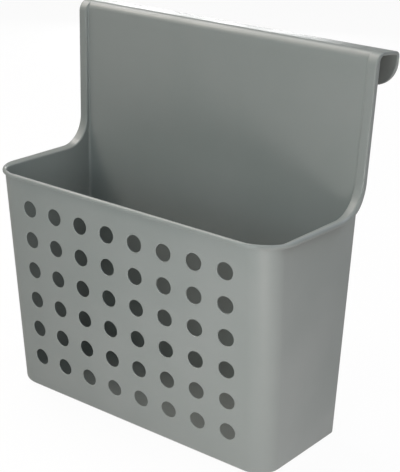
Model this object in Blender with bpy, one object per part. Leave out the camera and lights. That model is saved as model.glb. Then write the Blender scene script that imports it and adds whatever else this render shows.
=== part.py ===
# Basket that hangs over a shower screen or a door by a full-width hook.
# The real thing is one thin-walled plastic moulding. Its regions are modelled as
# separate solids that meet face to face at flat planes.
# Metres, +Z up, front of the basket towards -Y. The origin is under the middle of
# the whole outline, at the height of the underside.

import math

import bmesh
import bpy
from mathutils import Vector

# Tub, measured on its outside at the underside
BOTTOM_WIDTH = 0.2354
BOTTOM_DEPTH = 0.0865
TUB_HEIGHT = 0.1736
SIDE_DRAFT = math.radians(1.45)
FRONT_DRAFT = math.radians(5.6)
FRONT_CORNER_RADIUS = 0.0185
WALL_THICKNESS = 0.0015
FLOOR_THICKNESS = 0.0022
BOTTOM_EDGE_RADIUS = 0.0030
FLOOR_FILLET = 0.0020
FRONT_CROWN = 0.0041

# Holes in the front wall
HOLE_PITCH_X = 0.0250
HOLE_PITCH_Z = 0.0242
HOLE_DIAMETER = 0.0124
LOWEST_HOLE_HEIGHT = 0.0282

# Rim turned outward round the mouth, and up both edges of the back panel as two strips
RIM_OVERHANG = 0.0061
RIM_OVERHANG_FRONT = 0.0028
RIM_CORNER_RADIUS = 0.0262
RIM_THICKNESS = 0.0029
RIM_SWEEP_RADIUS = 0.0205

# Back panel, and how far the strips stand out in front of it
PANEL_THICKNESS = 0.0024
STRIP_STEP = 0.0024

# Hook, which is the panel bent over
TOP_HEIGHT = 0.2832
PANEL_BEND_RADIUS = 0.0060
HOOK_GAP = 0.0222
HOOK_SLOPE = math.radians(6.0)
HOOK_REAR_INNER_RADIUS = 0.0012
FLANGE_LENGTH = 0.0275
FLANGE_CORNER_RADIUS = 0.0180

# Plastic
PLASTIC_COLOUR = (0.235, 0.255, 0.248, 1)
PLASTIC_ROUGHNESS = 0.42

# Facets of the round stretches, and the angle above which an edge is drawn sharp
CORNER_STEPS = 8
SMALL_STEPS = 3
SWEEP_STEPS = 12
HOLE_SIDES = 16
SHARP_ANGLE = math.radians(30)

# Room that a cutter has beyond what it cuts
MARGIN = 0.02

# The rear face of the panel, placed so that the whole outline is centred on the origin
FRONT_REACH = BOTTOM_DEPTH + TUB_HEIGHT * math.tan(FRONT_DRAFT) + RIM_OVERHANG_FRONT
REAR_REACH = HOOK_GAP + PANEL_THICKNESS
REAR_Y = (FRONT_REACH - REAR_REACH) / 2
PANEL_FRONT_Y = REAR_Y - PANEL_THICKNESS
STRIP_FRONT_Y = PANEL_FRONT_Y - STRIP_STEP
STRIP_THICKNESS = PANEL_THICKNESS + STRIP_STEP

# The strips bend with the panel and end level with its top
STRIP_BEND_RADIUS = PANEL_BEND_RADIUS + STRIP_STEP
BEND_START_HEIGHT = TOP_HEIGHT - STRIP_BEND_RADIUS
BEND_CENTRE_Y = PANEL_FRONT_Y + PANEL_BEND_RADIUS
WEB_NORMAL = math.pi / 2 - HOOK_SLOPE

# Where the front wall ends and the side walls with their corners begin
FRONT_SPLIT_X = BOTTOM_WIDTH / 2 - FRONT_CORNER_RADIUS

# As many holes as fit: their centres stay three quarters of a diameter clear of the round
# corners, and one and a half diameters below the rim
HOLE_COLUMNS = int(2 * (FRONT_SPLIT_X - 0.75 * HOLE_DIAMETER) / HOLE_PITCH_X) + 1
HOLE_ROWS = int((TUB_HEIGHT - 1.5 * HOLE_DIAMETER - LOWEST_HOLE_HEIGHT) / HOLE_PITCH_Z) + 1


def clear_scene():
    for obj in list(bpy.data.objects):
        bpy.data.objects.remove(obj, do_unlink=True)


def half_width(z):
    return BOTTOM_WIDTH / 2 + z * math.tan(SIDE_DRAFT)


def front_depth(z):
    return BOTTOM_DEPTH + z * math.tan(FRONT_DRAFT)


def crown(x, z):
    # The front wall bulges between its corners and between floor and rim
    across = 1 - (x / FRONT_SPLIT_X) ** 2
    up = 1 - (2 * z / TUB_HEIGHT - 1) ** 4
    return FRONT_CROWN * max(across, 0) * max(up, 0)


def arc(centre, radius, start, end, steps):
    # Points in a plane, from one angle to the other, both ends included
    points = []
    for k in range(steps + 1):
        angle = start + (end - start) * k / steps
        points.append((centre[0] + radius * math.cos(angle), centre[1] + radius * math.sin(angle)))
    return points


def front_columns():
    # Facet lines of the crowned wall run between the columns of holes
    lines = [(k - HOLE_COLUMNS / 2) * HOLE_PITCH_X for k in range(1, HOLE_COLUMNS)]
    return [x for x in lines if abs(x) < FRONT_SPLIT_X]


def tub_ring(z, outward, corner, rear_y, rear_radius):
    # One level of the tub, anticlockwise from above, moved outward on three sides
    width = half_width(z) + outward
    front_y = REAR_Y - front_depth(z) - outward
    quarter = math.pi / 2
    left = (-width + corner, front_y + corner)
    right = (width - corner, front_y + corner)
    points = arc(left, corner, -2 * quarter, -quarter, CORNER_STEPS)
    points += [(x, front_y - crown(x, z)) for x in front_columns()]
    points += arc(right, corner, -quarter, 0, CORNER_STEPS)
    if rear_radius > 0:
        inner_x = width - rear_radius
        inner_y = rear_y - rear_radius
        points += arc((inner_x, inner_y), rear_radius, 0, quarter, SMALL_STEPS)
        points += arc((-inner_x, inner_y), rear_radius, quarter, 2 * quarter, SMALL_STEPS)
    else:
        points += [(width, rear_y), (-width, rear_y)]
    return [Vector((x, y, z)) for x, y in points]


def hole_heights():
    return [LOWEST_HOLE_HEIGHT + row * HOLE_PITCH_Z for row in range(HOLE_ROWS)]


def wall_heights():
    # Facet lines run between the rows of holes, then at the rim
    rows = [z + HOLE_PITCH_Z / 2 for z in hole_heights()[:-1]]
    low = [LOWEST_HOLE_HEIGHT - HOLE_PITCH_Z / 2]
    high = [hole_heights()[-1] + HOLE_PITCH_Z / 2]
    return low + rows + high + [TUB_HEIGHT, BEND_START_HEIGHT + MARGIN]


def filleted_rings(base, radius, side, corner, rear_y, rear_radius):
    # Rings up a wall that starts with a rounded lower edge at its front and sides
    rings = []
    for inset, height in arc((radius, radius), radius, -math.pi / 2, -math.pi, SMALL_STEPS):
        rings.append(tub_ring(base + height, side - inset, corner - inset, rear_y, rear_radius))
    for z in wall_heights():
        rings.append(tub_ring(z, side, corner, rear_y, rear_radius))
    return rings


def new_object(name, bm):
    bmesh.ops.recalc_face_normals(bm, faces=bm.faces)
    mesh = bpy.data.meshes.new(name)
    bm.to_mesh(mesh)
    bm.free()
    obj = bpy.data.objects.new(name, mesh)
    bpy.context.scene.collection.objects.link(obj)
    return obj


def loft(name, rings):
    # A closed solid through rings of equal length
    bm = bmesh.new()
    rows = [[bm.verts.new(point) for point in ring] for ring in rings]
    for lower, upper in zip(rows, rows[1:]):
        for k in range(len(lower)):
            after = (k + 1) % len(lower)
            bm.faces.new((lower[k], lower[after], upper[after], upper[k]))
    bm.faces.new(list(reversed(rows[0])))
    bm.faces.new(rows[-1])
    return new_object(name, bm)


def draw_out(bm, outline, along):
    # Adds a closed body: the outline and all that it passes when it moves by a vector
    face = bm.faces.new([bm.verts.new(point) for point in outline])
    drawn = bmesh.ops.extrude_face_region(bm, geom=[face])
    moved = [item for item in drawn["geom"] if isinstance(item, bmesh.types.BMVert)]
    bmesh.ops.translate(bm, verts=moved, vec=along)


def prism(name, outline, x_from, x_to):
    # An outline in the YZ plane, drawn out along X
    bm = bmesh.new()
    draw_out(bm, [(x_from, y, z) for y, z in outline], (x_to - x_from, 0, 0))
    return new_object(name, bm)


def block(name, low, high):
    bm = bmesh.new()
    bmesh.ops.create_cube(bm, size=1.0)
    for vert in bm.verts:
        for axis in range(3):
            vert.co[axis] = high[axis] if vert.co[axis] > 0 else low[axis]
    return new_object(name, bm)


def combine(target, tool, operation):
    # Works a Boolean into the target's mesh and removes the tool
    modifier = target.modifiers.new(operation.lower(), "BOOLEAN")
    modifier.object = tool
    modifier.operation = operation
    modifier.solver = "EXACT"
    bpy.context.view_layer.update()
    graph = bpy.context.evaluated_depsgraph_get()
    mesh = bpy.data.meshes.new_from_object(target.evaluated_get(graph))
    target.modifiers.clear()
    target.data = mesh
    bpy.data.objects.remove(tool, do_unlink=True)
    return target


def full_reach():
    # Further out along X than anything
    return half_width(TOP_HEIGHT) + RIM_OVERHANG + MARGIN


def rim_line(level_drop, arc_drop):
    # The rim seen from the side: level along the side wall, then up in an arc in front of
    # the panel. Both stretches are moved inward, and the arc starts where it meets the level.
    centre = (STRIP_FRONT_Y - RIM_SWEEP_RADIUS, TUB_HEIGHT + RIM_SWEEP_RADIUS)
    radius = RIM_SWEEP_RADIUS + arc_drop
    start = math.acos(min((RIM_SWEEP_RADIUS + level_drop) / radius, 1)) - math.pi / 2
    points = [(REAR_Y - FRONT_REACH - MARGIN, TUB_HEIGHT - level_drop)]
    points += arc(centre, radius, start, 0, SWEEP_STEPS)
    points.append((STRIP_FRONT_Y + arc_drop, BEND_START_HEIGHT + MARGIN))
    return points


def rim_band(name):
    # The rim's thickness, right across the basket
    outline = rim_line(0, 0) + list(reversed(rim_line(RIM_THICKNESS, STRIP_THICKNESS)))
    return prism(name, outline, -full_reach(), full_reach())


def above_rim(name):
    front_y = REAR_Y - FRONT_REACH - MARGIN
    outline = rim_line(0, 0) + [(front_y, BEND_START_HEIGHT + MARGIN)]
    return prism(name, outline, -full_reach(), full_reach())


def rim_ring(z):
    # One level of what the rim covers, seen from above
    width = half_width(z) + RIM_OVERHANG
    front_y = REAR_Y - front_depth(z) - RIM_OVERHANG_FRONT
    corner = RIM_CORNER_RADIUS
    points = arc((-width + corner, front_y + corner), corner, -math.pi, -math.pi / 2, CORNER_STEPS)
    points += arc((width - corner, front_y + corner), corner, -math.pi / 2, 0, CORNER_STEPS)
    points += [(width, REAR_Y), (-width, REAR_Y)]
    return [Vector((x, y, z)) for x, y in points]


def cavity(name):
    inner_corner = FRONT_CORNER_RADIUS - WALL_THICKNESS
    rings = filleted_rings(
        FLOOR_THICKNESS, FLOOR_FILLET, -WALL_THICKNESS, inner_corner, PANEL_FRONT_Y, STRIP_STEP
    )
    return loft(name, rings)


def holes(name):
    # One cutter with all the holes, drawn through the front wall along Y
    bm = bmesh.new()
    radius = HOLE_DIAMETER / 2
    for z in hole_heights():
        for column in range(HOLE_COLUMNS):
            x = (column - (HOLE_COLUMNS - 1) / 2) * HOLE_PITCH_X
            front_y = REAR_Y - front_depth(z) - crown(x, z) - MARGIN / 2
            ring = arc((x, z), radius, 0, 2 * math.pi, HOLE_SIDES)[:-1]
            draw_out(bm, [(across, front_y, up) for across, up in ring], (0, MARGIN, 0))
    return new_object(name, bm)


def tub_shell():
    # The whole moulding up to the bend
    shell = loft("shell", filleted_rings(0, BOTTOM_EDGE_RADIUS, 0, FRONT_CORNER_RADIUS, REAR_Y, 0))
    rim = loft("rim", [rim_ring(z) for z in (FLOOR_THICKNESS, BEND_START_HEIGHT + MARGIN)])
    combine(rim, rim_band("rim_band"), "INTERSECT")
    combine(shell, above_rim("above_rim"), "DIFFERENCE")
    combine(shell, rim, "UNION")
    combine(shell, cavity("cavity"), "DIFFERENCE")
    combine(shell, holes("holes"), "DIFFERENCE")
    return shell


def region(name, shell, low, high):
    # The part of the shell inside a box, as a solid of its own
    obj = bpy.data.objects.new(name, shell.data.copy())
    bpy.context.scene.collection.objects.link(obj)
    return combine(obj, block("box", low, high), "INTERSECT")


def tub_parts():
    shell = tub_shell()
    reach = full_reach()
    split_x = FRONT_SPLIT_X
    front_y = REAR_Y - FRONT_REACH - FRONT_CROWN - MARGIN
    rear_y = REAR_Y + MARGIN
    low_z = FLOOR_THICKNESS
    top_z = BEND_START_HEIGHT
    parts = [
        region("floor", shell, (-reach, front_y, -MARGIN), (reach, rear_y, low_z)),
        region("front_wall", shell, (-split_x, front_y, low_z), (split_x, PANEL_FRONT_Y, top_z)),
        region("left_wall", shell, (-reach, front_y, low_z), (-split_x, PANEL_FRONT_Y, top_z)),
        region("right_wall", shell, (split_x, front_y, low_z), (reach, PANEL_FRONT_Y, top_z)),
        region("back_panel", shell, (-reach, PANEL_FRONT_Y, low_z), (reach, rear_y, top_z)),
    ]
    bpy.data.objects.remove(shell, do_unlink=True)
    return parts


def bend_line(offset):
    # The outer face of the bend seen from the side, moved inward by the offset
    centre = (BEND_CENTRE_Y, TOP_HEIGHT - PANEL_BEND_RADIUS)
    return arc(centre, PANEL_BEND_RADIUS - offset, math.pi, WEB_NORMAL, SWEEP_STEPS)


def rear_centre():
    # Centre of the bend between web and flange, tangent to both
    radius = HOOK_REAR_INNER_RADIUS + PANEL_THICKNESS
    web_y, web_z = bend_line(0)[-1]
    y = REAR_Y + REAR_REACH - radius
    z = web_z - (y - web_y) * math.tan(HOOK_SLOPE) - radius / math.cos(HOOK_SLOPE)
    return y, z


def hook_line(offset):
    # The outer face from the panel over the web to the flange, moved inward by the offset
    radius = HOOK_REAR_INNER_RADIUS + PANEL_THICKNESS - offset
    points = [(PANEL_FRONT_Y + offset, BEND_START_HEIGHT)]
    points += bend_line(offset)
    points += arc(rear_centre(), radius, WEB_NORMAL, 0, SMALL_STEPS)
    return points


def hook_reach():
    return half_width(BEND_START_HEIGHT) + RIM_OVERHANG


def strip_ring(side, strip_point, panel_point, base_point):
    # Section of a strip at one angle of the bend: its face, the rounded step down to the
    # panel, and a base inside the panel's wall
    inner = half_width(BEND_START_HEIGHT) - WALL_THICKNESS
    ring = [(hook_reach(), strip_point)]
    for across, down in arc((0, 0), 1, 0, math.pi / 2, SMALL_STEPS):
        point = [s + (p - s) * down for s, p in zip(strip_point, panel_point)]
        ring.append((inner - STRIP_STEP * (1 - across), point))
    ring += [(inner - STRIP_STEP, base_point), (hook_reach(), base_point)]
    return [Vector((side * x, y, z)) for x, (y, z) in ring]


def hook_strip(name, side):
    # A strip follows the bend and runs out on top of the web
    half_turn = math.pi
    depth = PANEL_THICKNESS / 2
    strip_centre = (BEND_CENTRE_Y, BEND_START_HEIGHT)
    panel_centre = (BEND_CENTRE_Y, TOP_HEIGHT - PANEL_BEND_RADIUS)
    strip = arc(strip_centre, STRIP_BEND_RADIUS, half_turn, half_turn / 2, SWEEP_STEPS)
    panel = arc(panel_centre, PANEL_BEND_RADIUS, half_turn, half_turn / 2, SWEEP_STEPS)
    base = arc(panel_centre, PANEL_BEND_RADIUS - depth, half_turn, half_turn / 2, SWEEP_STEPS)
    panel[0] = (PANEL_FRONT_Y, BEND_START_HEIGHT)
    base[0] = (PANEL_FRONT_Y + depth, BEND_START_HEIGHT)
    return loft(name, [strip_ring(side, *points) for points in zip(strip, panel, base)])


def hook_top():
    outline = hook_line(0) + list(reversed(hook_line(PANEL_THICKNESS)))
    web = prism("hook_top", outline, -hook_reach(), hook_reach())
    combine(web, hook_strip("strip_left", -1), "UNION")
    combine(web, hook_strip("strip_right", 1), "UNION")
    return web


def hook_flange():
    # The plate behind the door, with its lower corners rounded
    reach = hook_reach()
    front_y = REAR_Y + HOOK_GAP
    top_z = rear_centre()[1]
    low_z = TOP_HEIGHT - FLANGE_LENGTH
    corner = FLANGE_CORNER_RADIUS
    outline = [(-reach, top_z), (reach, top_z)]
    outline += arc((reach - corner, low_z + corner), corner, 0, -math.pi / 2, CORNER_STEPS)
    outline += arc((-reach + corner, low_z + corner), corner, -math.pi / 2, -math.pi, CORNER_STEPS)
    bm = bmesh.new()
    draw_out(bm, [(x, front_y, z) for x, z in outline], (0, PANEL_THICKNESS, 0))
    return new_object("hook_flange", bm)


def plastic(name):
    material = bpy.data.materials.new(name + "_plastic")
    material.use_nodes = True
    shader = material.node_tree.nodes["Principled BSDF"]
    shader.inputs["Base Color"].default_value = PLASTIC_COLOUR
    shader.inputs["Roughness"].default_value = PLASTIC_ROUGHNESS
    return material


def finish(obj):
    obj.data.materials.clear()
    obj.data.materials.append(plastic(obj.name))
    obj.data.shade_smooth()
    obj.data.set_sharp_from_angle(angle=SHARP_ANGLE)


def main():
    clear_scene()
    parts = tub_parts()
    parts.append(hook_top())
    parts.append(hook_flange())
    for obj in parts:
        finish(obj)


main()
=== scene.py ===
# Shower basket that hangs over a screen or door: its moulded surface, plastic, light and camera
import bpy
import bmesh
import math
from mathutils import Matrix, Vector


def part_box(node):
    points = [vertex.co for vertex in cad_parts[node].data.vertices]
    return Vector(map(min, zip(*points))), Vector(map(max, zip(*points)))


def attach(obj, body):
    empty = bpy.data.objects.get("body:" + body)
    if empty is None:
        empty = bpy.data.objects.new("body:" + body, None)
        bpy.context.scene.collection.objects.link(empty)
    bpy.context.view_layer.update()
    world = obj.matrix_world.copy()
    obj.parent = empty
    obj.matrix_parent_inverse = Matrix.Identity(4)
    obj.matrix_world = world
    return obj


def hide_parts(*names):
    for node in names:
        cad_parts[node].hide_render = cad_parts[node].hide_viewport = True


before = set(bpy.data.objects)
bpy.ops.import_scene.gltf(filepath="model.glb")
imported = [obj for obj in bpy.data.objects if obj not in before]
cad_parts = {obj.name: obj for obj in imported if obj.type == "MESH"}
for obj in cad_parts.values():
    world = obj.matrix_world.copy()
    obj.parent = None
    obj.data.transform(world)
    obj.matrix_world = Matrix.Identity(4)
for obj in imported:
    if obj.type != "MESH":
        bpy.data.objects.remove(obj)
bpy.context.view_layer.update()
print("frame loaded")

# everything is measured from the rear face of the back panel, x is counted from the middle
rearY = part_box("back_panel")[1].y

tub = {
    "bottomWidth": 0.2354,
    "bottomDepth": 0.0865,
    "height": 0.1736,
    "sideDraft": math.radians(1.45),
    "frontDraft": math.radians(5.6),
    "cornerRadius": 0.0185,
    "wall": 0.0015,
    "floor": 0.0022,
    "crown": 0.0041,        # how far the front bulges
    "crownPower": 4,        # the higher, the flatter the bulge is from bottom to top
    "bottomRadius": 0.0030,     # outer rounding along the bottom
    "bottomSteps": 5,
    "floorFillet": 0.0016,      # the same inside the tub
    "rearRadius": 0.0005,       # upright rear edges
    "rearSteps": 3,
    "rearTurn": (24, 4),    # degrees of the sweep beside the rear edge, and their step
    "rearInset": 3,         # the bottom rounding reaches in this many times less at the rear
    "cornerSteps": 12,
}

holes = {
    "columns": 4,           # on each side of the middle
    "rows": 6,
    "pitchX": 0.0250,
    "pitchZ": 0.0242,
    "lowest": 0.0282,       # height of the lowest row
    "radius": 0.0062,
    "rounding": 0.0005,
    "roundingSteps": 3,
    "flare": 0.0009,        # how much wider each hole is on the inside of the wall
    "perSide": 8,           # points along one side of a cell
    "middleRing": 0.42,     # place of the ring of points on the way from the hole to its cell's border
    "margin": 4,            # rows of faces above and below the cells
}

rim = {
    "overhangCorner": 0.0043,   # it grows from the front corners to the strips
    "overhangSweep": 0.0056,
    "overhangStrip": 0.0061,
    "overhangFront": 0.0028,
    "cornerRadius": 0.0262,
    "sweepRadius": 0.0212,
    "thickness": 0.0029,
    "stripThickness": 0.0048,
    "drop": {"front": 0.0010, "side": 0.0014, "strip": 0.0},        # how much the top leans into the tub
    "inner": {"front": 0.0009, "side": 0.0009, "strip": 0.0013},    # rounding into the tub
    "outer": {"front": 0.0022, "side": 0.0020, "strip": 0.0013},    # rounding of the outer edge
    "lower": {"front": 0.0005, "side": 0.0005, "strip": 0.0015},    # the same below it
    "root": 0.0008,         # where the rim meets the wall from below
    "innerSteps": 6,
    "outerSteps": 4,
    "lowerSteps": 3,
    "levelSteps": 7,
    "sweepSteps": 28,
    "cornerBlend": 0.6,     # share of the front corner where the front sizes turn into the side ones
    "cornerLag": 0.030,     # the outer edge catches up with the wall over this length behind the corner
    # angles of the sweep, which go from 90 degrees at its start to 0 at the strips
    "wideAt": math.radians(45),         # the overhang has grown
    "roundFrom": math.radians(45),      # the roundings start to change
    "thickAt": math.radians(30),        # the thickness has grown
    "rootFrom": math.radians(20),       # the roundings against the wall and at the rear start to shrink
}

panel = {
    "thickness": 0.0024,
    "step": 0.0024,         # the strips stand this far in front
    "fillet": 0.0020,       # upright corner inside the tub
    "filletStrip": 0.0011,
    "filletSteps": 5,
    "filletMargin": 0.002,  # its radius changes this far outside the sweep
    "filletFrom": math.radians(30),     # angle of the sweep where it starts to narrow
    "filletTurn": (36, 3),  # degrees of the sweep beside it, and their step
    "border": 0.0008,       # width of the border round the big planes
}

hook = {
    "top": 0.2832,
    "bend": 0.0060,         # outer radius
    "bendSteps": 14,
    "gap": 0.0222,          # from the rear of the panel to the flange
    "slope": math.radians(6.0),     # fall of the web to the rear
    "rearInner": 0.0012,    # inner radius between web and flange
    "rearSteps": 8,
    "flangeLength": 0.0275,
    "flangeCorner": 0.0180,
    "cornerSteps": 14,
    "endRounding": 0.0005,
}

merging = {
    "points": 0.000008,     # points closer than this become one
    "corners": 0.000004,    # the same along the edge of a plane
    "halves": 0.00001,      # the same where the mirrored half meets the first
}

panelFront = rearY - panel["thickness"]
stripFront = panelFront - panel["step"]
bendStart = hook["top"] - hook["bend"] - panel["step"]
sweepY = stripFront - rim["sweepRadius"]
sweepZ = tub["height"] + rim["sweepRadius"]
filletReach = rim["sweepRadius"] + panel["filletMargin"]
rearReach = rim["sweepRadius"] + rim["stripThickness"]


def halfWidth(z):
    return tub["bottomWidth"] / 2 + z * math.tan(tub["sideDraft"])


def frontLine(z):
    # where the front would be without its bulge
    return rearY - tub["bottomDepth"] - z * math.tan(tub["frontDraft"])


def bulge(z):
    up = 2 * z / tub["height"] - 1
    return tub["crown"] * max(1 - up ** tub["crownPower"], 0)


def quarter(steps):
    # sines and cosines over a quarter turn
    angles = [math.pi / 2 * k / steps for k in range(steps + 1)]
    return [(math.sin(angle), math.cos(angle)) for angle in angles]


def ramp(value, low, high):
    t = min(max((value - low) / (high - low), 0), 1)
    return t * t * (3 - 2 * t)


def frontShape(z, outward):
    # the corner's centre, radius and angle where the bulge leaves it, then the bulge's end and rise
    radius = tub["cornerRadius"] + outward
    centreX = halfWidth(z) - tub["cornerRadius"]
    centreY = frontLine(z) + tub["cornerRadius"]
    turn = 0
    for _ in range(4):      # settles in a few rounds
        rise = bulge(z) + radius * (1 - math.cos(turn))
        turn = math.atan(2 * rise / (centreX + radius * math.sin(turn)))
    endX = centreX + radius * math.sin(turn)
    endY = centreY - radius * math.cos(turn)
    return (centreX, centreY, radius, turn), (endX, endY, rise)


def frontPoint(x, z, outward):
    endX, endY, rise = frontShape(z, outward)[1]
    return Vector((x, endY - rise * (1 - (x / endX) ** 2), z))


def wallPoint(u, z, outward):
    # u counts hole columns from the middle, and its last unit is the round corner
    corner, front = frontShape(z, outward)
    last = holes["columns"]
    if u <= last - 1:
        return frontPoint(u * holes["pitchX"], z, outward)
    if u <= last:
        start = (last - 1) * holes["pitchX"]
        return frontPoint(start + (front[0] - start) * (u - last + 1), z, outward)
    centreX, centreY, radius, turn = corner
    angle = (turn - math.pi / 2) * (last + 1 - u)
    return Vector((centreX + radius * math.cos(angle), centreY + radius * math.sin(angle), z))


def sidePoint(y, z, outward):
    return Vector((halfWidth(z) + outward, y, z))


def gridPatch(bm, columns, rows, place):
    # an operator grid laid onto the surface that place describes
    made = bmesh.ops.create_grid(bm, x_segments=columns, y_segments=rows, size=1)
    for vert in made["verts"]:
        i = round((vert.co.x + 1) / 2 * columns)
        j = round((vert.co.y + 1) / 2 * rows)
        vert.co = place(i, j)


def flatFace(bm, points):
    # a plane region, without the points that fall together
    kept = [p for k, p in enumerate(points) if (p - points[k - 1]).length > merging["corners"]]
    verts = [bm.verts.new(p) for p in kept]
    edges = [bm.edges.new((vert, verts[k - 1])) for k, vert in enumerate(verts)]
    face = bmesh.ops.edgeloop_fill(bm, edges=edges)["faces"][0]
    face.normal_update()
    return face


# rim: a section swept from the middle of the front to the start of the bend
def rimStations():
    stations = []
    perSide = holes["perSide"]
    for k in range(holes["columns"] * perSide + 1):
        stations.append(("wall", k / perSide))
    for k in range(1, tub["cornerSteps"] + 1):
        stations.append(("wall", holes["columns"] + k / tub["cornerSteps"]))
    startY = frontLine(tub["height"]) + tub["cornerRadius"]
    for k in range(1, rim["levelSteps"]):
        stations.append(("level", startY + (sweepY - startY) * k / rim["levelSteps"]))
    for k in range(rim["sweepSteps"] + 1):
        stations.append(("sweep", math.pi / 2 * (k / rim["sweepSteps"] - 1)))
    stations.append(("strip", bendStart))
    return stations


def sideSpot(station, down):
    kind, value = station
    if kind == "level":
        return value, tub["height"] - down
    if kind == "sweep":
        radius = rim["sweepRadius"] + down
        return sweepY + radius * math.cos(value), sweepZ + radius * math.sin(value)
    return stripFront + down, value


def rimWall(station, down, outward):
    kind, value = station
    if kind == "wall":
        return wallPoint(value, tub["height"] - down, outward)
    y, z = sideSpot(station, down)
    return sidePoint(y, z, outward)


def rimEdge(station, down):
    # the outer edge of the rim, which turns the corner with its own radius
    kind, value = station
    z = tub["height"] - down
    radius = rim["cornerRadius"]
    centreX = halfWidth(z) + rim["overhangCorner"] - radius
    centreY = frontLine(z) - rim["overhangFront"] + radius
    last = holes["columns"]
    if kind == "wall" and value <= last:
        inner = wallPoint(value, tub["height"], 0)
        spread = centreX / (halfWidth(z) - tub["cornerRadius"])
        return Vector((inner.x * spread, centreY - radius, z))
    if kind == "wall":
        angle = math.pi / 2 * (value - last - 1)
        return Vector((centreX + radius * math.cos(angle), centreY + radius * math.sin(angle), z))
    y, z = sideSpot(station, down)
    startY = frontLine(tub["height"]) + tub["cornerRadius"]
    lag = radius - rim["overhangFront"] - tub["cornerRadius"]
    wide = 1 - ramp(sweepAngle(station), rim["wideAt"], math.pi / 2)
    reach = rim["overhangSweep"] + (rim["overhangStrip"] - rim["overhangSweep"]) * wide
    if kind == "level":
        y += lag * (1 - ramp(value, startY, startY + rim["cornerLag"]))
        along = (value - startY) / (sweepY - startY)
        reach = rim["overhangCorner"] + (rim["overhangSweep"] - rim["overhangCorner"]) * along
    return sidePoint(y, z, reach)


def sweepAngle(station):
    kind, value = station
    if kind == "sweep":
        return -value
    return 0 if kind == "strip" else math.pi / 2


def share(angle, full):
    # grows from 0 at the strips to 1 at the full angle of the sweep
    return min((1 - math.cos(angle)) / (1 - math.cos(full)), 1)


def rimSizes(station):
    kind, value = station
    angle = sweepAngle(station)
    last = holes["columns"]
    front = 1 - ramp(value, last, last + rim["cornerBlend"]) if kind == "wall" else 0
    strip = 1 - share(angle, rim["roundFrom"])
    size = {}
    for name in ("inner", "outer", "lower", "drop"):
        part = rim[name]
        side = part["side"]
        size[name] = side + (part["front"] - side) * front + (part["strip"] - side) * strip
    thin = ramp(angle, rim["thickAt"], math.pi / 2)
    size["thickness"] = rim["stripThickness"] + (rim["thickness"] - rim["stripThickness"]) * thin
    size["root"] = rim["root"] * share(angle, rim["rootFrom"])
    return size


def rimSection(station):
    size = rimSizes(station)
    inner = size["inner"]
    outer = size["outer"]
    lower = size["lower"]
    root = size["root"]
    across = rimEdge(station, 0) - rimWall(station, 0, -tub["wall"])
    flat = across.length - outer
    across.normalize()
    points = []
    for s, c in quarter(rim["innerSteps"]):
        along = inner * (1 - c)
        lean = size["drop"] * (1 - along / flat)
        points.append(rimWall(station, inner * (1 - s) + lean, -tub["wall"]) + across * along)
    for s, c in quarter(rim["outerSteps"]):
        points.append(rimEdge(station, outer * (1 - c)) - across * outer * (1 - s))
    for s, c in quarter(rim["lowerSteps"]):
        down = size["thickness"] - lower * (1 - s)
        points.append(rimEdge(station, down) - across * lower * (1 - c))
    for s, c in quarter(rim["lowerSteps"]):
        down = size["thickness"] + root * (1 - c)
        points.append(rimWall(station, down, 0) + across * root * (1 - s))
    return points


# front and corner walls, inner or outer, without the holes
def cellBottom(row):
    return holes["lowest"] + (row - 0.5) * holes["pitchZ"]


def wallRows(outer, u):
    # heights of the wall's points from the bottom rounding to the rim
    size = rimSizes(("wall", u))
    if outer:
        low = tub["bottomRadius"]
        high = tub["height"] - size["thickness"] - size["root"]
    else:
        low = tub["floor"] + tub["floorFillet"]
        high = tub["height"] - size["inner"] - size["drop"]
    start = cellBottom(0)
    end = cellBottom(holes["rows"])
    margin = holes["margin"]
    heights = [low + (start - low) * k / margin for k in range(margin)]
    count = holes["rows"] * holes["perSide"]
    heights += [start + (end - start) * k / count for k in range(count)]
    heights += [end + (high - end) * k / margin for k in range(margin + 1)]
    return heights


def addWalls(bm):
    for outer in (True, False):
        outward = 0 if outer else -tub["wall"]
        last = holes["columns"]
        steps = tub["cornerSteps"]
        perSide = holes["perSide"]
        margin = holes["margin"]

        def place(u, j):
            return wallPoint(u, wallRows(outer, u)[j], outward)

        gridPatch(bm, steps, len(wallRows(outer, last)) - 1, lambda i, j: place(last + i / steps, j))
        gridPatch(bm, last * perSide, margin, lambda i, j: place(i / perSide, j))
        gridPatch(bm, last * perSide, margin, lambda i, j: place(i / perSide, j - margin - 1))


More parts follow.
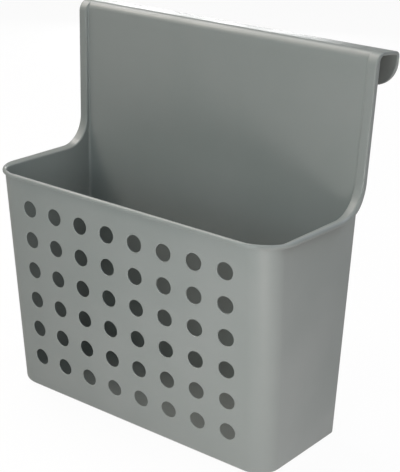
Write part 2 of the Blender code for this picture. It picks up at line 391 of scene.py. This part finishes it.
# one cell of the front: from its outer border through the hole to its inner border
def addHole(bm, column, row):
    perSide = holes["perSide"]
    count = 4 * perSide
    centreX = (column + 0.5) * holes["pitchX"]
    centreZ = holes["lowest"] + row * holes["pitchZ"]
    radius = holes["radius"]
    small = holes["rounding"]
    thick = tub["wall"]

    def border(k):
        # runs once round the cell, from its lower left corner
        side, along = divmod(k % count, perSide)
        t = along / perSide
        u, v = [(t, 0), (1, t), (1 - t, 1), (0, 1 - t)][side]
        return column + u, cellBottom(row) + v * holes["pitchZ"]

    def ring(k, reach, depth):
        angle = 2 * math.pi * k / count - 0.75 * math.pi
        x = centreX + reach * math.cos(angle)
        z = centreZ + reach * math.sin(angle)
        outside = frontPoint(x, z, 0)
        inside = frontPoint(x, z, -thick)
        return outside.lerp(inside, depth / thick)

    def between(k, outward):
        onBorder = wallPoint(*border(k), outward)
        reach, depth = profile[0] if outward == 0 else profile[-1]
        onRing = ring(k, reach, depth)
        middle = onRing.lerp(onBorder, holes["middleRing"])
        return frontPoint(middle.x, middle.z, outward)

    curve = quarter(holes["roundingSteps"])
    rounding = [(radius + small * (1 - s), small * (1 - c)) for s, c in curve]
    # radius and depth of the rings through the wall
    profile = rounding + [(reach + holes["flare"], thick - depth) for reach, depth in reversed(rounding)]
    rows = len(profile) + 3

    def place(i, j):
        if j == 0:
            return wallPoint(*border(i), 0)
        if j == 1:
            return between(i, 0)
        if j == rows - 1:
            return between(i, -thick)
        if j == rows:
            return wallPoint(*border(i), -thick)
        return ring(i, *profile[j - 2])

    gridPatch(bm, count, rows, place)


# upright edges between side wall and panel, which narrow beside the sweep
def sweepTurn(z, reach):
    # angle of the sweep at a height, on a line of this radius
    return math.asin(min(max((sweepZ - z) / reach, 0), 1))


def uprightRows(low, reach, turn):
    # heights from the bottom to the strip, closer together beside the sweep
    first, step = turn
    beside = [sweepZ - reach * math.sin(math.radians(a)) for a in range(first, 0, -step)]
    return [low, tub["height"], *beside, sweepZ]


def filletRadius(z):
    blend = share(sweepTurn(z, filletReach), panel["filletFrom"])
    return panel["filletStrip"] + (panel["fillet"] - panel["filletStrip"]) * blend


def filletPoint(z, s, c, inset=0):
    radius = filletRadius(z)
    centreX = halfWidth(z) - tub["wall"] - radius
    centreY = panelFront - radius
    return Vector((centreX + (radius - inset) * c, centreY + (radius - inset) * s, z))


def filletRows():
    return uprightRows(tub["floor"] + tub["floorFillet"], filletReach, panel["filletTurn"])


def rearRows():
    return uprightRows(tub["bottomRadius"], rearReach, tub["rearTurn"])


def rearPoint(z, s, c, inset=0):
    radius = tub["rearRadius"] * share(sweepTurn(z, rearReach), rim["rootFrom"])
    x = halfWidth(z) - inset - radius + radius * c
    y = rearY - inset / tub["rearInset"] - radius + radius * s
    return Vector((x, y, z))


def addUprights(bm):
    inner = filletRows() + [bendStart]
    curve = quarter(panel["filletSteps"])
    gridPatch(bm, len(curve) - 1, len(inner) - 1, lambda i, j: filletPoint(inner[j], *curve[i]))
    outer = rearRows()
    edge = quarter(tub["rearSteps"])
    gridPatch(bm, len(edge) - 1, len(outer) - 1, lambda i, j: rearPoint(outer[j], *edge[i]))


# rounded rings along the bottom, from the middle of the front to the middle of the rear
def bottomRing(z, inset, outer):
    outward = (0 if outer else -tub["wall"]) - inset
    perSide = holes["perSide"]
    count = holes["columns"] * perSide
    points = [wallPoint(k / perSide, z, outward) for k in range(count + 1)]
    steps = tub["cornerSteps"]
    points += [wallPoint(holes["columns"] + k / steps, z, outward) for k in range(1, steps + 1)]
    if outer:
        points += [rearPoint(z, s, c, inset) for s, c in quarter(tub["rearSteps"])]
        points.append(Vector((0, rearY - inset / tub["rearInset"], z)))
    else:
        points += [filletPoint(z, s, c, inset) for s, c in quarter(panel["filletSteps"])]
        points.append(Vector((0, panelFront - inset, z)))
    return points


def addBottom(bm):
    for outer in (True, False):
        radius = tub["bottomRadius"] if outer else tub["floorFillet"]
        base = 0 if outer else tub["floor"]
        curve = quarter(tub["bottomSteps"])
        rings = [bottomRing(base + radius * (1 - s), radius * (1 - c), outer) for s, c in curve]
        gridPatch(bm, len(rings[0]) - 1, len(rings) - 1, lambda i, j: rings[j][i])
        flatFace(bm, rings[-1])


# bend, web and flange
def hookLines():
    # in each row: strip's face, panel's face, rear face and share of the width
    centreY = panelFront + hook["bend"]
    centreZ = hook["top"] - hook["bend"]
    thick = panel["thickness"]
    normal = math.pi / 2 - hook["slope"]

    def spot(y, z, radius, angle):
        return Vector((y + radius * math.cos(angle), z + radius * math.sin(angle)))

    start = [Vector((y, bendStart)) for y in (stripFront, panelFront, rearY)]
    rows = [(*start, 1)]
    steps = hook["bendSteps"]
    for k in range(1, steps + 1):
        angle = math.pi - math.pi / 2 * k / steps
        strip = spot(centreY, bendStart, hook["bend"] + panel["step"], angle)
        front = spot(centreY, centreZ, hook["bend"], angle)
        rows.append((strip, front, spot(centreY, centreZ, hook["bend"] - thick, angle), 1))
    front = spot(centreY, centreZ, hook["bend"], normal)
    rows.append((front, front, spot(centreY, centreZ, hook["bend"] - thick, normal), 1))
    radius = hook["rearInner"] + thick
    rearCentreY = rearY + hook["gap"] + thick - radius
    fall = (rearCentreY - front.x) * math.tan(hook["slope"])
    rearCentreZ = front.y - fall - radius / math.cos(hook["slope"])
    steps = hook["rearSteps"]
    for k in range(steps + 1):
        angle = normal * (1 - k / steps)
        outside = spot(rearCentreY, rearCentreZ, radius, angle)
        rows.append((outside, outside, spot(rearCentreY, rearCentreZ, hook["rearInner"], angle), 1))
    low = hook["top"] - hook["flangeLength"]
    corner = hook["flangeCorner"]
    reach = halfWidth(bendStart) + rim["overhangStrip"]
    small = hook["endRounding"]
    steps = hook["cornerSteps"]
    for k in range(steps + 1):
        turn = math.pi / 2 * k / steps
        z = low + corner * (1 - math.sin(turn))
        short = min(max(low + small - z, 0), small)
        inset = small - math.sqrt(small ** 2 - short ** 2)
        outside = Vector((rearY + hook["gap"] + thick - inset, z))
        inside = Vector((rearY + hook["gap"] + inset, z))
        rows.append((outside, outside, inside, 1 - corner * (1 - math.cos(turn)) / reach))
    return rows


def hookSection():
    # points across half the hook at the start of the bend: x, depth, and what the depth runs to
    width = halfWidth(bendStart)
    size = rimSizes(("strip", bendStart))
    inner = size["inner"]
    outer = size["outer"]
    lower = size["lower"]
    thickness = size["thickness"]
    fillet = panel["filletStrip"]
    wall = width - tub["wall"]
    reach = width + rim["overhangStrip"]
    step = panel["step"]
    points = [(0, 1, "step")]
    for s, c in reversed(quarter(panel["filletSteps"])):
        points.append((wall - fillet + fillet * c, (step - fillet + fillet * s) / step, "step"))
    for s, c in quarter(rim["innerSteps"])[1:]:
        points.append((wall + inner * (1 - c), inner * (1 - s) / step, "step"))
    for s, c in quarter(rim["outerSteps"]):
        points.append((reach - outer * (1 - s), outer * (1 - c) / thickness, "edge"))
    for s, c in quarter(rim["lowerSteps"]):
        points.append((reach - lower * (1 - c), 1 - lower * (1 - s) / thickness, "edge"))
    points.append((width, 1, "edge"))
    points.append((0, 1, "edge"))
    return points


def addHook(bm):
    rows = hookLines()
    section = hookSection()

    def place(i, j):
        x, depth, runsTo = section[i]
        strip, front, rear, width = rows[j]
        y, z = strip.lerp(front if runsTo == "step" else rear, depth)
        return Vector((x * width, y, z))

    gridPatch(bm, len(section) - 1, len(rows) - 1, place)
    flatFace(bm, [place(i, len(rows) - 1) for i in range(len(section))])


# plane regions between the rounded stretches
def addPlanes(bm, sections, stations):
    cornerEnd = holes["columns"] + 1
    first = stations.index(("wall", cornerEnd))
    for outer in (True, False):
        at = -1 if outer else 0
        outward = 0 if outer else -tub["wall"]
        corner = [wallPoint(cornerEnd, z, outward) for z in wallRows(outer, cornerEnd)[:-1]]
        upper = [section[at] for section in sections[first:-1]]
        if outer:
            rear = [rearPoint(z, 0, 1) for z in rearRows()]
        else:
            rear = [filletPoint(z, 0, 1) for z in filletRows()]
        flatFace(bm, corner + upper + list(reversed(rear)))
    front = [filletPoint(z, 1, 0) for z in filletRows() + [bendStart]]
    low = Vector((0, panelFront, front[0].z))
    faces = [flatFace(bm, [low] + front + [Vector((0, panelFront, bendStart))])]
    back = [rearPoint(z, 1, 0) for z in rearRows()]
    back.append(Vector((halfWidth(bendStart), rearY, bendStart)))
    low = Vector((0, rearY, back[0].z))
    faces.append(flatFace(bm, [low] + back + [Vector((0, rearY, bendStart))]))
    # a narrow border keeps the shading of the edges off the big planes
    bmesh.ops.inset_individual(bm, faces=faces, thickness=panel["border"], use_even_offset=True)


def buildBasket():
    bm = bmesh.new()
    stations = rimStations()
    sections = [rimSection(s) for s in stations]
    gridPatch(bm, len(sections) - 1, len(sections[0]) - 1, lambda i, j: sections[i][j])
    addWalls(bm)
    for column in range(holes["columns"]):
        for row in range(holes["rows"]):
            addHole(bm, column, row)
    addUprights(bm)
    addBottom(bm)
    addHook(bm)
    addPlanes(bm, sections, stations)
    bmesh.ops.remove_doubles(bm, verts=bm.verts, dist=merging["points"])
    half = bm.verts[:] + bm.edges[:] + bm.faces[:]
    bmesh.ops.mirror(bm, geom=half, axis="X", merge_dist=merging["halves"])
    bmesh.ops.remove_doubles(bm, verts=bm.verts, dist=merging["points"])
    bmesh.ops.recalc_face_normals(bm, faces=bm.faces)
    openEdges = [e for e in bm.edges if len(e.link_faces) != 2]
    print("basket:", len(bm.verts), "points,", len(bm.faces), "faces,", len(openEdges), "open edges")
    mesh = bpy.data.meshes.new("basket")
    bm.to_mesh(mesh)
    bm.free()
    basket = bpy.data.objects.new("basket", mesh)
    bpy.context.scene.collection.objects.link(basket)
    mesh.shade_smooth()
    weighted = basket.modifiers.new("evenShading", "WEIGHTED_NORMAL")
    weighted.mode = "FACE_AREA"
    weighted.weight = 50
    return basket


basket = buildBasket()
print("basket built")

# satin grey plastic with the fine grain of the mould, soft flow clouds and a little handling wear
plastic = {
    "colour": (0.232, 0.254, 0.247, 1),
    "cloudColour": (0.219, 0.243, 0.235, 1),
    "cloudSize": 18,            # clouds per metre
    "roughness": (0.34, 0.44),
    "grainSize": 2600,          # grains per metre
    "grainDepth": 0.00002,
    "rippleSize": 55,           # slight waves left by the cooling wall
    "rippleDepth": 0.00006,
    "rippleDetail": 1,
    "grainDetail": 3,
    "cloudDetail": 2,
    "cloudRange": (0.30, 0.70),
    "scuffSize": 140,
    "scuffAmount": 0.05,
    "scuffDetail": 5,
    "scuffRange": (0.56, 0.78),
    "scuffStretch": (1, 1, 0.25),
}


def newSocket(group, name, direction, kind, value=None):
    socket = group.interface.new_socket(name=name, in_out=direction, socket_type=kind)
    if value is not None:
        socket.default_value = value
    return socket


def mouldedSkin():
    # surface relief of a moulded wall: grain from the mould and long low ripples
    group = bpy.data.node_groups.new("mouldedSkin", "ShaderNodeTree")
    newSocket(group, "Vector", "INPUT", "NodeSocketVector")
    newSocket(group, "Grain Size", "INPUT", "NodeSocketFloat", 2000)
    newSocket(group, "Grain Depth", "INPUT", "NodeSocketFloat", 0.00002)
    newSocket(group, "Ripple Size", "INPUT", "NodeSocketFloat", 50)
    newSocket(group, "Ripple Depth", "INPUT", "NodeSocketFloat", 0.00005)
    newSocket(group, "Height", "OUTPUT", "NodeSocketFloat")
    nodes = group.nodes
    links = group.links
    start = nodes.new("NodeGroupInput")
    end = nodes.new("NodeGroupOutput")
    heights = []
    for relief, detail in (("Grain", plastic["grainDetail"]), ("Ripple", plastic["rippleDetail"])):
        noise = nodes.new("ShaderNodeTexNoise")
        noise.inputs["Detail"].default_value = detail
        links.new(start.outputs["Vector"], noise.inputs["Vector"])
        links.new(start.outputs[relief + " Size"], noise.inputs["Scale"])
        height = nodes.new("ShaderNodeMath")
        height.operation = "MULTIPLY"
        links.new(noise.outputs["Fac"], height.inputs[0])
        links.new(start.outputs[relief + " Depth"], height.inputs[1])
        heights.append(height.outputs[0])
    total = nodes.new("ShaderNodeMath")
    total.operation = "ADD"
    links.new(heights[0], total.inputs[0])
    links.new(heights[1], total.inputs[1])
    links.new(total.outputs[0], end.inputs["Height"])
    return group


def flowClouds():
    # soft cloudy mask of the melt's flow, with sparse fine scuffs on top
    group = bpy.data.node_groups.new("flowClouds", "ShaderNodeTree")
    newSocket(group, "Vector", "INPUT", "NodeSocketVector")
    newSocket(group, "Cloud Size", "INPUT", "NodeSocketFloat", 20)
    newSocket(group, "Scuff Size", "INPUT", "NodeSocketFloat", 150)
    newSocket(group, "Clouds", "OUTPUT", "NodeSocketFloat")
    newSocket(group, "Scuffs", "OUTPUT", "NodeSocketFloat")
    nodes = group.nodes
    links = group.links
    start = nodes.new("NodeGroupInput")
    end = nodes.new("NodeGroupOutput")
    clouds = nodes.new("ShaderNodeTexNoise")
    clouds.inputs["Detail"].default_value = plastic["cloudDetail"]
    links.new(start.outputs["Vector"], clouds.inputs["Vector"])
    links.new(start.outputs["Cloud Size"], clouds.inputs["Scale"])
    soft = nodes.new("ShaderNodeMapRange")
    soft.interpolation_type = "SMOOTHSTEP"
    low, high = plastic["cloudRange"]
    soft.inputs["From Min"].default_value = low
    soft.inputs["From Max"].default_value = high
    links.new(clouds.outputs["Fac"], soft.inputs["Value"])
    links.new(soft.outputs["Result"], end.inputs["Clouds"])
    stretch = nodes.new("ShaderNodeMapping")
    stretch.inputs["Scale"].default_value = plastic["scuffStretch"]
    links.new(start.outputs["Vector"], stretch.inputs["Vector"])
    scuffs = nodes.new("ShaderNodeTexNoise")
    scuffs.inputs["Detail"].default_value = plastic["scuffDetail"]
    links.new(stretch.outputs["Vector"], scuffs.inputs["Vector"])
    links.new(start.outputs["Scuff Size"], scuffs.inputs["Scale"])
    sparse = nodes.new("ShaderNodeMapRange")
    low, high = plastic["scuffRange"]
    sparse.inputs["From Min"].default_value = low
    sparse.inputs["From Max"].default_value = high
    links.new(scuffs.outputs["Fac"], sparse.inputs["Value"])
    links.new(sparse.outputs["Result"], end.inputs["Scuffs"])
    return group


def satinPlastic():
    material = bpy.data.materials.new("satinPlastic")
    material.use_nodes = True
    nodes = material.node_tree.nodes
    links = material.node_tree.links
    shader = nodes["Principled BSDF"]
    place = nodes.new("ShaderNodeTexCoord")
    clouds = nodes.new("ShaderNodeGroup")
    clouds.node_tree = flowClouds()
    clouds.inputs["Cloud Size"].default_value = plastic["cloudSize"]
    clouds.inputs["Scuff Size"].default_value = plastic["scuffSize"]
    links.new(place.outputs["Object"], clouds.inputs["Vector"])
    colour = nodes.new("ShaderNodeMix")
    colour.data_type = "RGBA"
    colour.inputs["A"].default_value = plastic["colour"]
    colour.inputs["B"].default_value = plastic["cloudColour"]
    links.new(clouds.outputs["Clouds"], colour.inputs["Factor"])
    links.new(colour.outputs["Result"], shader.inputs["Base Color"])
    smooth, rough = plastic["roughness"]
    roughness = nodes.new("ShaderNodeMapRange")
    roughness.inputs["To Min"].default_value = smooth
    roughness.inputs["To Max"].default_value = rough
    links.new(clouds.outputs["Clouds"], roughness.inputs["Value"])
    scuffed = nodes.new("ShaderNodeMath")
    scuffed.operation = "MULTIPLY_ADD"
    scuffed.inputs[1].default_value = plastic["scuffAmount"]
    links.new(clouds.outputs["Scuffs"], scuffed.inputs[0])
    links.new(roughness.outputs["Result"], scuffed.inputs[2])
    links.new(scuffed.outputs[0], shader.inputs["Roughness"])
    skin = nodes.new("ShaderNodeGroup")
    skin.node_tree = mouldedSkin()
    skin.inputs["Grain Size"].default_value = plastic["grainSize"]
    skin.inputs["Grain Depth"].default_value = plastic["grainDepth"]
    skin.inputs["Ripple Size"].default_value = plastic["rippleSize"]
    skin.inputs["Ripple Depth"].default_value = plastic["rippleDepth"]
    links.new(place.outputs["Object"], skin.inputs["Vector"])
    bump = nodes.new("ShaderNodeBump")
    bump.inputs["Distance"].default_value = 1
    links.new(skin.outputs["Height"], bump.inputs["Height"])
    links.new(bump.outputs["Normal"], shader.inputs["Normal"])
    return material


basket.data.materials.append(satinPlastic())
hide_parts("floor", "front_wall", "left_wall", "right_wall", "back_panel", "hook_top", "hook_flange")
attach(basket, "root")
print("plastic applied")

# camera, fitted to the hole centres and outlines of the photograph
camera = {
    "position": (0.529873, rearY - 0.718514, 0.449615),
    "azimuth": math.radians(36.927),
    "elevation": math.radians(20.056),
    "roll": math.radians(2.339),
    "focal": 1270.99,       # in pixels of a picture 472 high
    "pictureHeight": 472,
}


def addCamera():
    data = bpy.data.cameras.new("camera")
    data.sensor_fit = "VERTICAL"
    data.sensor_height = 24
    data.lens = camera["focal"] * data.sensor_height / camera["pictureHeight"]
    data.clip_start = 0.01
    obj = bpy.data.objects.new("camera", data)
    a, e, r = camera["azimuth"], camera["elevation"], camera["roll"]
    back = Vector((math.sin(a) * math.cos(e), -math.cos(a) * math.cos(e), math.sin(e)))
    right = Vector((math.cos(a), math.sin(a), 0))
    up = back.cross(right)
    rolledRight = right * math.cos(r) + up * math.sin(r)
    rolledUp = up * math.cos(r) - right * math.sin(r)
    turn = Matrix((rolledRight, rolledUp, back)).transposed().to_4x4()
    obj.matrix_world = Matrix.Translation(camera["position"]) @ turn
    bpy.context.scene.collection.objects.link(obj)
    bpy.context.scene.camera = obj


addCamera()

# soft boxes that face the basket: degrees from straight in front and up, distance, size, power and colour
lamps = {
    "front": {"azimuth": 0, "elevation": 8, "power": 3.7, "colour": (0.98, 1.0, 0.94)},
    "frontHigh": {
        "azimuth": 19, "elevation": 24, "distance": 0.6, "size": (0.25, 0.25), "power": 1.0,
        "colour": (0.86, 0.96, 1.0),
    },
    "lowCard": {
        "azimuth": 50, "elevation": -10, "distance": 0.5, "size": (0.2, 0.125), "power": 0.72,
        "colour": (1.0, 0.90, 0.86),
    },
    "right": {"azimuth": 90, "elevation": 8, "power": 2.6},
    "rightHigh": {"azimuth": 100, "elevation": 48, "power": 4.6},
    "frontLeft": {"azimuth": -45, "elevation": 28, "power": 1.0, "colour": (1.0, 0.92, 0.87)},
    "leftHigh": {"azimuth": -60, "elevation": 48, "power": 8.4, "colour": (1.0, 0.91, 0.84)},
    "left": {"azimuth": -100, "elevation": 48, "power": 5.7, "colour": (1.0, 0.94, 0.94)},
    "topLeft": {"azimuth": -100, "elevation": 68, "power": 8.0, "colour": (1.0, 0.93, 0.88)},
    "rear": {"azimuth": -143, "elevation": 8, "power": 4.1},
    "rearHigh": {"azimuth": 150, "elevation": 48, "power": 6.1, "colour": (0.84, 0.87, 1.0)},
}
softBox = {"distance": 1.5, "size": (0.5, 0.5), "colour": (1, 1, 1)}
lampAim = Vector((0, 0, 0.13))


def addLamp(name, own):
    lamp = {**softBox, **own}
    data = bpy.data.lights.new(name, "AREA")
    data.shape = "RECTANGLE"
    data.size, data.size_y = lamp["size"]
    data.energy = lamp["power"]
    data.color = lamp["colour"]
    obj = bpy.data.objects.new(name, data)
    a = math.radians(lamp["azimuth"])
    e = math.radians(lamp["elevation"])
    away = Vector((math.sin(a) * math.cos(e), -math.cos(a) * math.cos(e), math.sin(e)))
    obj.location = lampAim + away * lamp["distance"]
    obj.rotation_euler = away.to_track_quat("Z", "Y").to_euler()
    bpy.context.scene.collection.objects.link(obj)


for name, lamp in lamps.items():
    addLamp(name, lamp)


# the room: soft even light from all sides, seen as white behind the basket
room = {
    "colour": (0.95, 1.0, 1.0),
    "light": 0.03,
    "seenWhite": 1.0,
}


def lightRoom():
    world = bpy.data.worlds.new("room")
    bpy.context.scene.world = world
    world.use_nodes = True
    nodes = world.node_tree.nodes
    links = world.node_tree.links
    path = nodes.new("ShaderNodeLightPath")
    light = nodes["Background"]
    light.inputs["Color"].default_value = (*room["colour"], 1)
    light.inputs["Strength"].default_value = room["light"]
    white = nodes.new("ShaderNodeBackground")
    white.inputs["Color"].default_value = (1, 1, 1, 1)
    white.inputs["Strength"].default_value = room["seenWhite"]
    both = nodes.new("ShaderNodeMixShader")
    links.new(path.outputs["Is Camera Ray"], both.inputs["Fac"])
    links.new(light.outputs["Background"], both.inputs[1])
    links.new(white.outputs["Background"], both.inputs[2])
    links.new(both.outputs["Shader"], nodes["World Output"].inputs["Surface"])


lightRoom()


# a pale floor that the camera sees almost white, with the faint shadow of the basket
floor = {
    "halfSize": 3.0,
    "below": 0.0005,            # how far it lies under the basket
    "colour": (0.8, 0.8, 0.8, 1),
    "roughness": 0.8,
    "seenWhite": 0.95,          # how much of it the camera sees as plain white
    "bounceColour": (0.12, 0.12, 0.12, 1),      # what it throws back at the basket
    "glowColour": (1.0, 0.95, 0.94, 1),
    "glow": 0.27,
    "patchAt": (0.22, -0.29, 0),        # a brighter patch in front, seen only as its light on the basket
    "patchRadius": 0.48,
    "patchFull": 0.5,           # share of the patch, from its middle out, that has the full glow
    "patchGlow": 0.56,
}


def addFloor():
    bm = bmesh.new()
    bmesh.ops.create_grid(bm, x_segments=1, y_segments=1, size=floor["halfSize"])
    mesh = bpy.data.meshes.new("stageFloor")
    bm.to_mesh(mesh)
    bm.free()
    obj = bpy.data.objects.new("stageFloor", mesh)
    obj.location.z = -floor["below"]
    bpy.context.scene.collection.objects.link(obj)
    material = bpy.data.materials.new("paleFloor")
    material.use_nodes = True
    nodes = material.node_tree.nodes
    links = material.node_tree.links
    pale = nodes["Principled BSDF"]
    pale.inputs["Base Color"].default_value = floor["colour"]
    pale.inputs["Roughness"].default_value = floor["roughness"]
    white = nodes.new("ShaderNodeEmission")
    white.inputs["Strength"].default_value = 1
    seen = nodes.new("ShaderNodeMixShader")
    seen.inputs["Fac"].default_value = floor["seenWhite"]
    bounce = nodes.new("ShaderNodeBsdfPrincipled")
    bounce.inputs["Base Color"].default_value = floor["bounceColour"]
    bounce.inputs["Roughness"].default_value = floor["roughness"]
    bounce.inputs["Emission Color"].default_value = floor["glowColour"]
    place = nodes.new("ShaderNodeTexCoord")
    centred = nodes.new("ShaderNodeMapping")
    size = floor["patchRadius"]
    centred.inputs["Location"].default_value = [-v / size for v in floor["patchAt"]]
    centred.inputs["Scale"].default_value = (1 / size, 1 / size, 1 / size)
    patch = nodes.new("ShaderNodeTexGradient")
    patch.gradient_type = "SPHERICAL"
    glow = nodes.new("ShaderNodeMapRange")
    glow.inputs["From Max"].default_value = floor["patchFull"]
    glow.inputs["To Min"].default_value = floor["glow"]
    glow.inputs["To Max"].default_value = floor["glow"] + floor["patchGlow"]
    links.new(place.outputs["Object"], centred.inputs["Vector"])
    links.new(centred.outputs["Vector"], patch.inputs["Vector"])
    links.new(patch.outputs["Fac"], glow.inputs["Value"])
    links.new(glow.outputs["Result"], bounce.inputs["Emission Strength"])
    path = nodes.new("ShaderNodeLightPath")
    both = nodes.new("ShaderNodeMixShader")
    links.new(pale.outputs["BSDF"], seen.inputs[1])
    links.new(white.outputs["Emission"], seen.inputs[2])
    links.new(path.outputs["Is Camera Ray"], both.inputs["Fac"])
    links.new(bounce.outputs["BSDF"], both.inputs[1])
    links.new(seen.outputs["Shader"], both.inputs[2])
    links.new(both.outputs["Shader"], nodes["Material Output"].inputs["Surface"])
    mesh.materials.append(material)


addFloor()
bpy.context.scene.view_settings.view_transform = "Standard"
print("camera, lamps and floor set")
